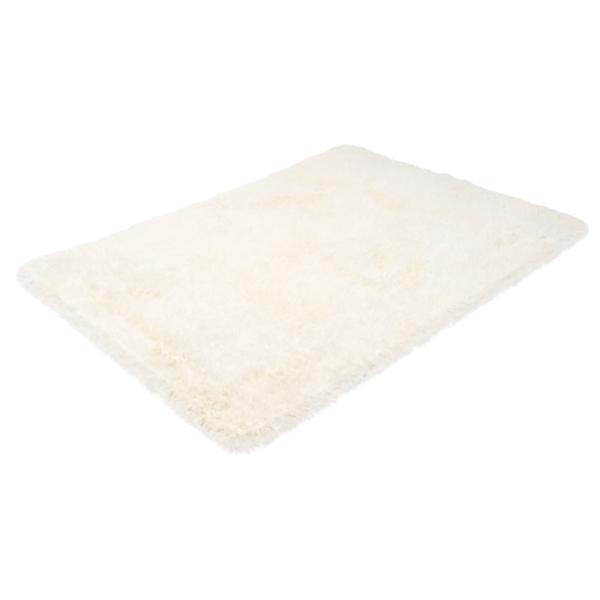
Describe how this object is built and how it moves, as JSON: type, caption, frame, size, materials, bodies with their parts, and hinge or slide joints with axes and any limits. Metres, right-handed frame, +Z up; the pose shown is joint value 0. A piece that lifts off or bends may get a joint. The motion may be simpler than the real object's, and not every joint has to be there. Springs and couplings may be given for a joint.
{
  "type": "shag rug",
  "caption": "Rectangular shag rug with round corners: deep, soft cream pile, uneven in clumps, that falls outwards over its rim, lying flat on the floor.",
  "frame": {"origin": "on the floor, under the middle of the rug's box", "axes": "+X along the rug's long side, +Y along its short side, +Z up, out of the pile"},
  "size_m": [1.6058, 1.225, 0.0504],
  "materials": {
    "pile": "soft matt pile of long fine yarn",
    "backing": "matt plain weave"
  },
  "bodies": {
    "root": {"shag_rug": "pile"}
  },
  "joints": []
}
